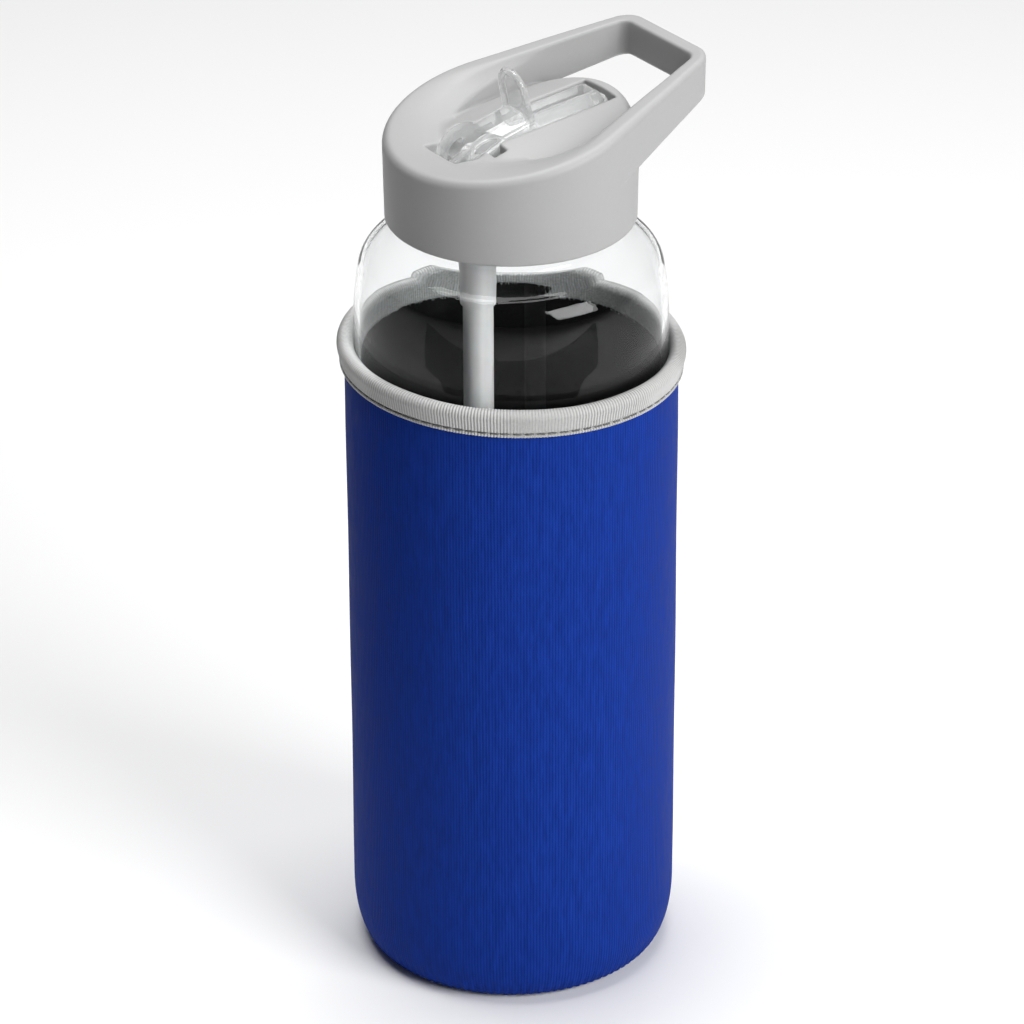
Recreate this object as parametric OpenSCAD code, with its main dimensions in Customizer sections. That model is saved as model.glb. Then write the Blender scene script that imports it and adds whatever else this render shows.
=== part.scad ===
// Glass water bottle in a bound neoprene sleeve, with a screw lid, carry loop,
// flip spout and straw.
// Millimetres, +Z up. The origin is on the bottle's axis, at the underside of
// the sleeve; the carry loop points along +X.

/* [Sleeve] */
// Outside radius of the sleeve
sleeve_r = 39.5; // [39.3:0.1:40.5]
// Height of the sleeve's cloth wall
sleeve_h = 160; // [140:1:162]
// Thickness of the outer, coloured layer
cover_t = 1.2; // [1:0.1:1.3]
// Height over which the wall rounds in to the base
foot_h = 15; // [10:1:18]
// How far the wall rounds in at the base
foot_in = 4.8; // [3:0.1:5.5]
// Outside radius of the rim binding
bind_r = 41.2; // [41:0.1:42]
// Height of the rim binding
bind_h = 6.5; // [5.5:0.1:8]

/* [Glass] */
// Outside radius of the glass body
glass_r = 37.2; // [36.5:0.1:37.2]
// Wall thickness of the glass
glass_t = 2.6; // [2:0.1:3]
// Height at which the shoulder starts to curve in
shoulder_z = 167.5; // [160:0.5:167.5]
// Outside radius of the neck
neck_r = 24.5; // [24.5:0.1:24.6]
// Height of the mouth
mouth_z = 204; // [203.8:0.1:204]

/* [Screw thread] */
// Rise of the lid in one full turn
lead = 3.6; // [3.5:0.1:3.8]
// Length of each thread, in turns
thread_turns = 1.2; // [1:0.1:1.2]

/* [Lid] */
// Outside radius of the lid at its lower edge
lid_r = 29.5; // [29.3:0.1:29.8]
// Height of the lid's lower edge
lid_z = 194.2; // [193.8:0.1:195]
// Height of the sloping rim plane on the bottle's axis
rim_z = 219.4; // [219:0.1:221]
// Rise of the rim plane for each millimetre along X
rim_slope = 0.2; // [0.18:0.01:0.22]
// Reach of the carry loop from the axis
loop_x = 46; // [44:0.5:50]
// Half of the loop bar's length
loop_w = 17; // [15:0.5:19]
// Thickness of the loop's strap
strap_t = 3.6; // [3.4:0.1:4.6]
// Width of the bowl inside the rim, as a radius
bowl_r = 24.6; // [24:0.1:24.8]

/* [Spout] */
// Distance of the spout's pivot from the axis
pivot_x = -9.5; // [-9.8:0.1:-9.2]
// Height of the spout's pivot
pivot_z = 209.6; // [209.4:0.1:209.8]
// Radius of the spout's drum
drum_r = 8.2; // [8:0.1:8.3]
// Half of the spout's width
spout_w = 5.95; // [5.7:0.05:6]
// Half of the mouthpiece's height
mouth_r = 4.3; // [4:0.1:4.4]
// Half of the mouthpiece's width
mouth_w = 5.6; // [4.6:0.1:5.6]

/* [Straw] */
// Outside radius of the straw
straw_r = 3.6; // [3.4:0.1:3.7]
// Height of the straw's lower end
straw_foot = 8; // [7:1:20]

/* [Hidden] */
$fn = 96;
far = 200;                       // longer than anything it cuts

layer_gap = 0.05;                // between layers that lie on each other
fit = 0.3;                       // between parts that slide past each other
disc_t = 1.2;                    // base disc
base_lining_t = 0.85;
glass_z = disc_t + layer_gap + base_lining_t + 0.1;
sleeve_in = glass_r + fit;       // inside radius of the sleeve
cover_in = sleeve_r - cover_t;
rim_low = sleeve_h - 7;          // both layers thin down between here
rim_high = sleeve_h - 5;         // and here, to fit inside the binding
cover_thin = 0.3;                // taken off the cover there
pinch = 0.5;                     // how far the sewn binding pinches the cover's outer face in
pinch_h = 0.5;                   // height over which it does, above the free wall
lining_thin = 0.6;               // and off the lining
cover_foot = [0.4, 1.4];         // heights of the cover's lower edge, outside and inside
lining_foot = [1.5, 2.6];        // the same for the lining
base_r = sleeve_r - foot_in - 0.9;

seam_angle = 90;                 // the side seam faces +Y
seam_rise = 0.2;                 // how far its thread stands off the wall
seam_w = 5;
seam_low = foot_h + 1;
seam_len = sleeve_h - foot_h - 6;
base_thread_r = 0.4;
base_seam_r = base_r + 0.45;
base_seam_z = 0.75;

bind_over = 2.5;                 // how far the binding stands over the cloth's edge
bind_low = sleeve_h + bind_over - bind_h;
bind_t = bind_r - sleeve_in;
stitch_r = 0.22;
stitch_out = 0.28;               // distance of the stitch line from the binding's face
stitch_up = 0.9;                 // height of the stitch line above the binding's edge

heel_r = 14;                     // outside radius of the glass heel
shoulder_r = 76;                 // long, flat start of the shoulder
shoulder_turn = 10.6;            // degrees taken up by that first arc
crown_r = 9;                     // tight upper arc of the shoulder
crown_end = 76;                  // degrees from upright where the crown stops
neck_fillet = 2;
neck_step = 1;                   // rise from the crown to the neck's fillet
inner_step = 1.6;                // the same on the inside
lip_r = 1.2;
lip_flare = 0.6;                 // how much the bore opens at the mouth
neck_in = neck_r - glass_t - 0.2;
punt_in = [5, 2];                // inner and outer edge of the underside's slope, inside the heel
punt_h = [2.2, 1.6];             // rise of the hollow underside, on the axis and at that inner edge
floor_t = 6;                     // thickness of the glass floor on the axis
floor_angle = -58;               // where the floor meets the inside of the heel

thread_root = 2.6;               // width of the glass thread where it meets the neck
thread_tip = 1.2;
thread_depth = 1.3;
thread_sink = 0.6;               // how far a thread's root runs into its wall
thread_gap = 0.35;               // between the lid's thread and the neck
thread_z = mouth_z - 6;          // lower end of the glass thread
collar_root = 2.0;
collar_tip = 1.0;
thread_step = 60;                // degrees from one arc of a thread to the next
thread_arc = 52;                 // degrees in each arc
collar_in = neck_r + thread_depth + thread_gap;
collar_out = lid_r - 1.7;
collar_z = lid_z + 0.6;
collar_lift = 0.1;               // clearance between the lid's thread and the glass one
gasket_in = 0.15;                // between the gasket's edge and the collar

ceiling_z = mouth_z + 1.8;       // underside of the lid's deck
rim_angle = atan(rim_slope);
draft = 0.4 / 25;                // outward taper of the lid wall
lid_top = 232;                   // above every point of the lid
deck_slope = 5;                  // degrees, the deck beside the spout
deck_z = 217.5;                  // height of the deck on the axis
deck_crown = 45;                 // sideways radius of the deck
bowl_depth = 4.6;
bowl_floor_r = 13;
bowl_over = 4;                   // how far the bowl's cone runs on above the rim
pit_start = 6;                   // X at which the bowl starts to run into the loop
pit_end = 24;                    // X at which it is fully open
pit_drop = 6;                    // depth of that opening below the deck
bar_corner = 6;
loop_start = 5;                  // X at which the loop leaves the round lid
loop_out = 0.1;                  // how far the loop stands outside the lid's lower edge
inner_r = neck_in - 0.8;         // room inside the neck for what hangs from the lid
inner_room = 4.5;                // height of the hollows beside the spout's pins
inner_wall = 1.8;                // between those hollows and the pin slots
arm_slope = 16.5;                // degrees, underside of the loop's arms
arm_root = [22.5, 212];          // where that underside leaves the lid wall

channel_w = spout_w + fit;
channel_end = 25.8;
channel_floor = 208.9;           // height of the channel floor at X = 0
swing_r = 10.5;                  // room behind the pivot for the raised block as it turns
swing_drop = 2.6;
pin_r = 2.0;
pin_end = 9.2;
pin_clear = 0.08;
pin_root = 1;                    // how far each pin's room runs into the channel
slot_w = 3.5;                    // snap-in slot above each pin
slot_root = 0.5;
slot_end = 0.1;
well_wall = 1.5;
mouth_slope = 5;
mouth_axis_z = 213.35;           // height of the mouthpiece's axis at X = 0
mouth_tip_x = 24.9;
mouth_corner = 2.4;              // rounding of the mouthpiece's long edges
bore_r = 2.3;
front_bore = 66;                 // degrees from upright, the bore from drum to mouthpiece
tip_round = 1.2;
block_end = 1.4;                 // front face of the spout's raised block
block_top = 220.6;
block_crown = 9.85;
tab_h = 13.5;
tab_w = 5.6;
tab_lean = 13;
tab_t = 2.1;
tab_web = 1.0;
tab_rim = 1.5;                   // width of the raised edge round the tab
tab_web_in = 0.8;
tab_end_in = 0.6;                // how much narrower the rounded end is
tab_x = block_end + 1.2;
tab_z = block_top - 3;
block_tilt = 13.2;               // degrees, the crowned top of the block
block_back = [pivot_x - 1.9, pivot_z + drum_r - 0.25];
block_low = [[block_end, 210.4], [pivot_x + drum_r - 0.6, 209.2], [pivot_x, 206]];

seal_r = 4.2;
seal_z = 199.2;
seal_h = 3;
seal_gap = 0.05;                 // between the seal and its hole in the lid
seal_bite = 0.1;                 // how far the seal is cut clear of the drum
vent_x = 12;
vent_r = 0.5;
vent_stem_r = 1.4;
vent_hole_r = 1.5;
vent_head_r = 3.5;
vent_head_h = 1.4;
vent_stem_h = 4.6;

straw_wall = 0.6;
straw_top = 192.5;
socket_low = 174;
socket_top = 198;
socket_wall = [0.6, 0.9];        // wall of the socket, at its lower and upper end
socket_stop = 193;               // height at which the straw meets its stop
socket_bore = 190;
socket_head_r = 5.6;
socket_head_z = 197.4;
socket_head_h = 1.75;

// Points of an arc about c, from angle a0 to a1, both ends included.
function arc(c, r, a0, a1, n = 12) =
    [for (i = [0:n]) let (a = a0 + (a1 - a0) * i / n) [c[0] + r * cos(a), c[1] + r * sin(a)]];
// Points of a quarter ellipse about c.
function oval(c, rx, rz, a0, a1, n = 12) =
    [for (i = [0:n]) let (a = a0 + (a1 - a0) * i / n) [c[0] + rx * cos(a), c[1] + rz * sin(a)]];

// Outline of the sleeve at inset t from its outer face, from the foot upward.
function sleeve_side(t, z0) =
    oval([sleeve_r - foot_in, foot_h], foot_in - t, foot_h - z0, -90, 0);

// The glass's outer face, from the resting ring up to the neck, moved in by t.
c_heel = [glass_r - heel_r, glass_z + heel_r];
c_long = [glass_r - shoulder_r, shoulder_z];
c_crown = [c_long[0] + (shoulder_r - crown_r) * cos(shoulder_turn),
           c_long[1] + (shoulder_r - crown_r) * sin(shoulder_turn)];
crown_top = c_crown[1] + crown_r * sin(crown_end);
function glass_side(t) = concat(
    arc(c_heel, heel_r - t, -90, 0),
    arc(c_long, shoulder_r - t, 0, shoulder_turn, 6),
    arc(c_crown, crown_r - t, shoulder_turn, crown_end, 10));

// One thread, in arcs with a vent gap between them. Each arc is a sector of a ring
// tilted to the thread's lead. It is root wide at r0, inside the wall, and tip wide at r2.
module thread(r0, r2, root, tip, z0, turns) {
    n = round(turns * 360 / thread_step);
    tilt = atan(lead / (2 * PI * r2));
    for (i = [0:n - 1])
        rotate([0, 0, (i + 0.5) * thread_step])
            translate([0, 0, z0 + lead * (i + 0.5) * thread_step / 360]) rotate([tilt, 0, 0])
                rotate([0, 0, -thread_arc / 2]) rotate_extrude(angle = thread_arc)
                    polygon([[r0, -root / 2], [r2, -tip / 2], [r2, tip / 2], [r0, root / 2]]);
}

// Everything below the sloping rim plane, lowered by d.
module under_rim(d = 0) {
    translate([0, 0, rim_z - d]) rotate([0, -rim_angle, 0])
        translate([-far / 2, -far / 2, -far]) cube([far, far, far]);
}

module sleeve_cover() color("royalblue") rotate_extrude() polygon(concat(
    sleeve_side(0, cover_foot[0]),
    [[sleeve_r, rim_high], [sleeve_r - pinch, rim_high + pinch_h],
     [sleeve_r - pinch, sleeve_h], [cover_in + cover_thin, sleeve_h],
     [cover_in + cover_thin, rim_high], [cover_in, rim_low]],
    oval([sleeve_r - foot_in, foot_h], foot_in - cover_t, foot_h - cover_foot[1], 0, -90)));

module sleeve_lining() color("black") rotate_extrude() polygon(concat(
    sleeve_side(cover_t + layer_gap, lining_foot[0]),
    [[cover_in - layer_gap, rim_low], [cover_in + cover_thin - layer_gap, rim_high],
     [cover_in + cover_thin - layer_gap, sleeve_h], [sleeve_in + lining_thin, sleeve_h],
     [sleeve_in + lining_thin, rim_high], [sleeve_in, rim_low]],
    oval([sleeve_r - foot_in, foot_h], sleeve_in - sleeve_r + foot_in,
         foot_h - lining_foot[1], 0, -90)));

module base_disc() color("mediumblue")
    cylinder(r = base_r, h = disc_t);

module base_lining() color("dimgray")
    translate([0, 0, disc_t + layer_gap]) cylinder(r = base_r, h = base_lining_t);

module base_seam() color("navy") rotate_extrude()
    translate([base_seam_r, base_seam_z]) circle(r = base_thread_r);

module side_seam() color("navy") intersection() {
    translate([0, 0, seam_low]) difference() {
        cylinder(r = sleeve_r + seam_rise, h = seam_len);
        translate([0, 0, -1]) cylinder(r = sleeve_r + layer_gap, h = sleeve_h);
    }
    rotate([0, 0, seam_angle]) translate([0, -seam_w / 2, 0]) cube([far, seam_w, far]);
}

module rim_binding() color("lightgray") rotate_extrude() difference() {
    translate([sleeve_in, bind_low]) union() {
        square([bind_t, bind_h - bind_t / 2]);
        translate([bind_t / 2, bind_h - bind_t / 2]) circle(r = bind_t / 2);
    }
    translate([sleeve_in + lining_thin - layer_gap, 0])
        square([sleeve_r - pinch - sleeve_in - lining_thin + 2 * layer_gap, sleeve_h + layer_gap]);
}

module binding_stitch() color("gray") rotate_extrude()
    translate([bind_r + stitch_out, bind_low + stitch_up]) circle(r = stitch_r);

module glass_bottle() color("lightcyan", 0.4) {
    rotate_extrude() difference() {
        polygon(concat([[0, glass_z + punt_h[0]], [c_heel[0] - punt_in[0], glass_z + punt_h[1]]],
            [[c_heel[0] - punt_in[1], glass_z]],
            glass_side(0),
            [[neck_r + neck_fillet, crown_top + neck_step]],
            arc([neck_r + neck_fillet, crown_top + neck_step + neck_fillet], neck_fillet, -90, -180, 6),
            arc([neck_r - lip_r, mouth_z - lip_r], lip_r, 0, 90, 5),
            [[0, mouth_z]]));
        polygon(concat([[0, glass_z + floor_t]],
            arc(c_heel, heel_r - glass_t, floor_angle, 0),
            arc(c_long, shoulder_r - glass_t, 0, shoulder_turn, 6),
            arc(c_crown, crown_r - glass_t, shoulder_turn, crown_end, 10),
            [[neck_in, crown_top + inner_step], [neck_in, mouth_z - 1],
             [neck_in + lip_flare, mouth_z + 1], [0, mouth_z + 1]]));
    }
    thread(neck_r - thread_sink, neck_r + thread_depth, thread_root, thread_tip, thread_z, thread_turns);
}

module lid_gasket() color("whitesmoke") translate([0, 0, mouth_z + layer_gap]) difference() {
    cylinder(r = collar_in - gasket_in, h = ceiling_z - mouth_z - 2 * layer_gap);
    translate([0, 0, -1]) cylinder(r = neck_in, h = 4);
}

module thread_collar() color("gainsboro") {
    translate([0, 0, collar_z]) difference() {
        cylinder(r = collar_out, h = ceiling_z - layer_gap - collar_z);
        translate([0, 0, -1]) cylinder(r = collar_in, h = 20);
    }
    rotate([0, 0, thread_step]) thread(collar_in + thread_sink, neck_r + thread_gap,
        collar_root, collar_tip, thread_z - lead / 2 + lead * thread_step / 360 + collar_lift, thread_turns);
}

// Plan of the rim and carry loop, moved in by t.
module loop_plan(r, t) {
    hull() {
        circle(r = r);
        for (s = [-1, 1]) translate([loop_x - bar_corner, s * (loop_w - bar_corner)])
            circle(r = bar_corner - t);
    }
}

// Solid below the crowned deck that carries the spout.
module deck() {
    translate([0, 0, deck_z - deck_crown]) rotate([0, 90 - deck_slope, 0])
        translate([0, 0, -far / 2]) cylinder(r = deck_crown, h = far);
}

module lid_body() {
    wall = lid_r + draft * (lid_top - lid_z);
    difference() {
        intersection() {
            translate([0, 0, lid_z]) cylinder(r1 = lid_r, r2 = wall, h = lid_top - lid_z);
            under_rim();
        }
        translate([0, 0, rim_z]) rotate([0, -rim_angle, 0]) translate([0, 0, -bowl_depth])
            cylinder(r1 = bowl_floor_r, r2 = bowl_r + bowl_over,
                     h = bowl_depth * (bowl_r + bowl_over - bowl_floor_r) / (bowl_r - bowl_floor_r));
        translate([pit_start, -far / 2, deck_z - pit_drop]) intersection() {
            cube([far, far, far]);
            translate([-pit_start, far / 2, 0]) linear_extrude(far) loop_plan(bowl_r, strap_t);
        }
        translate([pit_end, -far / 2, deck_z - pit_drop]) cube([far, far, far]);
    }
    intersection() {
        translate([0, 0, ceiling_z]) cylinder(r = lid_r, h = lid_top - ceiling_z);
        deck();
    }
}

module carry_loop() intersection() {
    difference() {
        linear_extrude(lid_top + 10) loop_plan(lid_r + loop_out, 0);
        translate([0, 0, -1]) linear_extrude(lid_top + 20) loop_plan(bowl_r, strap_t);
        translate([-far, -far / 2, 0]) cube([far + loop_start, far, lid_top + 10]);
    }
    under_rim();
    translate([arm_root[0], 0, arm_root[1]]) rotate([0, -arm_slope, 0])
        translate([-far / 2, -far / 2, 0]) cube([far, far, far]);
}

// The channel, well and pin slots that the spout lies and turns in.
module spout_room() {
    rotate([90, 0, 0]) linear_extrude(2 * channel_w, center = true) {
        translate([pivot_x, pivot_z]) circle(r = drum_r + fit);
        polygon([[pivot_x - swing_r, lid_top], [pivot_x - swing_r, pivot_z - swing_drop],
                 [pivot_x, pivot_z - swing_drop], [pivot_x, channel_floor + pivot_x * tan(mouth_slope)],
                 [channel_end, channel_floor + channel_end * tan(mouth_slope)], [channel_end, lid_top]]);
    }
    for (s = [-1, 1]) {
        translate([pivot_x, s * (channel_w - pin_root + pin_end + fit) / 2, pivot_z]) rotate([90, 0, 0])
            cylinder(r = pin_r + pin_clear, h = pin_end + fit - channel_w + pin_root, center = true);
        translate([pivot_x - slot_w / 2, s > 0 ? channel_w - slot_root : slot_end - pin_end - fit, pivot_z])
            cube([slot_w, pin_end + fit - channel_w + slot_root - slot_end, far]);
    }
}

// The wall that dips into the neck round the spout's drum.
module well() intersection() {
    translate([pivot_x, 0, pivot_z]) rotate([90, 0, 0])
        cylinder(r = drum_r + fit + well_wall, h = 2 * (channel_w + well_wall), center = true);
    cylinder(r = inner_r, h = pivot_z);
}

module lid_shell() color("darkgray") difference() {
    union() {
        lid_body();
        carry_loop();
        well();
    }
    difference() {
        translate([0, 0, lid_z - 1]) cylinder(r = collar_out + layer_gap, h = ceiling_z - lid_z + 1);
        well();
    }
    for (s = [-1, 1]) intersection() {
        translate([0, 0, ceiling_z - 1]) cylinder(r = inner_r, h = inner_room + 1);
        translate([-far / 2, s > 0 ? pin_end + inner_wall : -far - pin_end - inner_wall, 0])
            cube([far, far, far]);
    }
    spout_room();
    translate([pivot_x, 0, lid_z]) cylinder(r = seal_r + seal_gap, h = 8);
    translate([vent_x, 0, lid_z]) cylinder(r = vent_hole_r, h = 20);
}

module spout_seal() color("white") difference() {
    translate([pivot_x, 0, seal_z]) cylinder(r = seal_r, h = seal_h);
    translate([pivot_x, 0, pivot_z]) rotate([90, 0, 0])
        cylinder(r = drum_r + seal_bite, h = 20, center = true);
    translate([pivot_x, 0, lid_z]) cylinder(r = bore_r, h = 20);
}

module straw_socket() color("ghostwhite", 0.8) translate([pivot_x, 0, 0]) difference() {
    union() {
        translate([0, 0, socket_low])
            cylinder(r1 = straw_r + socket_wall[0], r2 = straw_r + socket_wall[1],
                     h = socket_top - socket_low);
        translate([0, 0, socket_head_z]) cylinder(r = socket_head_r, h = socket_head_h);
    }
    translate([0, 0, socket_low - 4]) cylinder(r = straw_r + layer_gap, h = socket_stop - socket_low + 4);
    translate([0, 0, socket_bore]) cylinder(r = bore_r, h = 20);
}

module vent_valve() color("white") translate([vent_x, 0, 0]) difference() {
    union() {
        translate([0, 0, ceiling_z - layer_gap - vent_head_h]) cylinder(r = vent_head_r, h = vent_head_h);
        translate([0, 0, ceiling_z - 1]) cylinder(r = vent_stem_r, h = vent_stem_h);
    }
    translate([0, 0, ceiling_z - 2]) cylinder(r = vent_r, h = 10);
}

module straw() color("lightgray", 0.7) translate([pivot_x, 0, straw_foot]) difference() {
    cylinder(r = straw_r, h = straw_top - straw_foot);
    translate([0, 0, -1]) cylinder(r = straw_r - straw_wall, h = far);
}

// Outline of the finger tab at inset t, standing on Y = 0.
module tab_plan(t) hull() {
    translate([-tab_w + t, -tab_h / 2]) square([2 * (tab_w - t), 1]);
    translate([0, tab_h - tab_w + tab_end_in]) circle(r = tab_w - tab_end_in - t);
}

// Puts its children on the mouthpiece's axis, with +Z towards the tip.
module along_mouth() translate([0, 0, mouth_axis_z]) rotate([0, 90 - mouth_slope, 0]) children();

module spout() color("aliceblue", 0.5) difference() {
    union() {
        translate([pivot_x, 0, pivot_z]) rotate([90, 0, 0])
            cylinder(r = drum_r, h = 2 * spout_w, center = true);
        translate([pivot_x, 0, pivot_z]) rotate([90, 0, 0])
            cylinder(r = pin_r, h = 2 * pin_end, center = true);
        intersection() {
            rotate([90, 0, 0]) linear_extrude(2 * spout_w, center = true)
                polygon(concat([block_back, [block_end, block_top]], block_low));
            translate([block_end, 0, block_top - block_crown]) rotate([0, 90 - block_tilt, 0])
                cylinder(r = block_crown, h = 60, center = true);
        }
        along_mouth() intersection() {
            linear_extrude(mouth_tip_x) polygon([
                for (c = [[1, 1, 0], [-1, 1, 90], [-1, -1, 180], [1, -1, 270]])
                    each arc([c[0] * (mouth_r - mouth_corner), c[1] * (mouth_w - mouth_corner)],
                             mouth_corner, c[2], c[2] + 90, 6)]);
            rotate([90, 0, 0]) linear_extrude(2 * spout_w, center = true) polygon(concat([[-mouth_r, 0]],
                [[mouth_r, 0]], arc([mouth_r - tip_round, mouth_tip_x - tip_round], tip_round, 0, 90, 5),
                arc([tip_round - mouth_r, mouth_tip_x - tip_round], tip_round, 90, 180, 5)));
        }
        translate([tab_x, 0, tab_z]) rotate([0, -tab_lean, 0]) rotate([90, 0, 90]) {
            linear_extrude(tab_web, center = true) tab_plan(tab_web_in);
            linear_extrude(tab_t, center = true) difference() {
                tab_plan(0);
                tab_plan(tab_rim);
            }
        }
    }
    along_mouth() translate([0, 0, -2]) cylinder(r = bore_r, h = 40);
    translate([pivot_x, 0, pivot_z]) rotate([0, front_bore, 0]) cylinder(r = bore_r, h = 8);
    translate([pivot_x, 0, pivot_z]) rotate([0, -90, 0]) cylinder(r = bore_r, h = 20);
    translate([pivot_x, 0, pivot_z]) sphere(r = bore_r);
}

sleeve_cover();
sleeve_lining();
base_disc();
base_lining();
base_seam();
side_seam();
rim_binding();
binding_stitch();
glass_bottle();
lid_gasket();
lid_shell();
thread_collar();
spout_seal();
straw_socket();
vent_valve();
straw();
spout();
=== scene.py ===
"""Glass water bottle in a bound neoprene sleeve, with a screw lid, carry loop, flip spout and straw.

The outlines below are in millimetres, in the CAD frame: +Z up, the bottle's axis on X = Y = 0, and
the carry loop along +X. Meshes are made in metres.
"""
import math

import bpy
import bmesh
import numpy as np
from mathutils import Matrix, Vector


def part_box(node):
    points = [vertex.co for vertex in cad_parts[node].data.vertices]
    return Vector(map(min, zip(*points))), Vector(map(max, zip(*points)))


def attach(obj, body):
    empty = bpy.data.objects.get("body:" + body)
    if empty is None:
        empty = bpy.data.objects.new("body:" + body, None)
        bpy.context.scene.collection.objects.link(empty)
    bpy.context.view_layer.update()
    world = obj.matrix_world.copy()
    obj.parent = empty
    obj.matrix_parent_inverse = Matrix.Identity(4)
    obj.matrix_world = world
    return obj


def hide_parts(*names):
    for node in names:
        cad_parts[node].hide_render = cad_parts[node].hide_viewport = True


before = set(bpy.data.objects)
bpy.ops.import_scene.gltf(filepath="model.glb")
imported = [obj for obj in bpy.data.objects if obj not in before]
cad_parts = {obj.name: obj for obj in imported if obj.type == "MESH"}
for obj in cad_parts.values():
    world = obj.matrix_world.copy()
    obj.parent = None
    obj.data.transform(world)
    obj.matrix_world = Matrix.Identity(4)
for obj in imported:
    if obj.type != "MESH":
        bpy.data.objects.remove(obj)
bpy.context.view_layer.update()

MM = 0.001
TURN = 2 * math.pi
random = np.random.default_rng(7)


def top(node, axis):
    """Highest X, Y or Z of a CAD node, in millimetres."""
    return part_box(node)[1][axis] / MM


def low(node, axis):
    """Lowest X, Y or Z of a CAD node, in millimetres."""
    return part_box(node)[0][axis] / MM


# ------------------------------------------------------------------ sizes, in millimetres
SLEEVE_R, SLEEVE_H = top("sleeve_cover", 0), top("sleeve_cover", 2)
FOOT_IN, FOOT_H = 4.8, 15.0  # how far, and over what height, the sleeve rounds in at its foot
COVER_T = 1.2                # thickness of the sleeve's outer layer
GAP = 0.05                   # between layers that lie on each other
RIM_LOW, RIM_HIGH = SLEEVE_H - 7, SLEEVE_H - 5    # both layers thin down between these heights
RIM_THIN = 0.5               # taken off the inside of the outer layer there, to fit the binding
BIND_R, BIND_TOP = top("rim_binding", 0), top("rim_binding", 2)
BIND_LOW = low("rim_binding", 2)
GLASS_R, GLASS_Z, MOUTH_Z = top("glass_bottle", 0), low("glass_bottle", 2), top("glass_bottle", 2)
GLASS_T = 2.6                # wall of the glass, below its shoulder
NECK_R = 24.5
SLEEVE_IN = GLASS_R + 0.3
LID_Z, LID_TOP = low("lid_shell", 2), top("lid_shell", 2)
LID_R = 29.5
LOOP_X = top("lid_shell", 0)
CEILING_Z = top("lid_gasket", 2) + GAP
PIVOT_X = (low("straw", 0) + top("straw", 0)) / 2
PIVOT_Z = 209.6
RIM_SLOPE = 0.2              # rise of the lid's rim for each millimetre along X
RIM_Z = LID_TOP - RIM_SLOPE * LOOP_X
RIM_COS = 1 / math.hypot(1, RIM_SLOPE)


# ------------------------------------------------------------------ camera
AZIMUTH, ELEVATION, ROLL = math.radians(-35.5), math.radians(28), math.radians(-0.21)
back = Vector((math.sin(AZIMUTH) * math.cos(ELEVATION), -math.cos(AZIMUTH) * math.cos(ELEVATION),
               math.sin(ELEVATION)))
AIM_Z, DISTANCE = 0.11535, 1.264    # metres
aim = Vector((0, 0, AIM_Z))
camera = bpy.data.objects.new("camera", bpy.data.cameras.new("camera"))
camera.data.lens, camera.data.sensor_width = 185.2, 36
camera.data.clip_start, camera.data.clip_end = 0.05, 20
camera.matrix_world = (Matrix.Translation(aim + back * DISTANCE)
                       @ (-back).to_track_quat("-Z", "Y").to_matrix().to_4x4()
                       @ Matrix.Rotation(ROLL, 4, "Z"))
bpy.context.scene.collection.objects.link(camera)
bpy.context.scene.camera = camera


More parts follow.
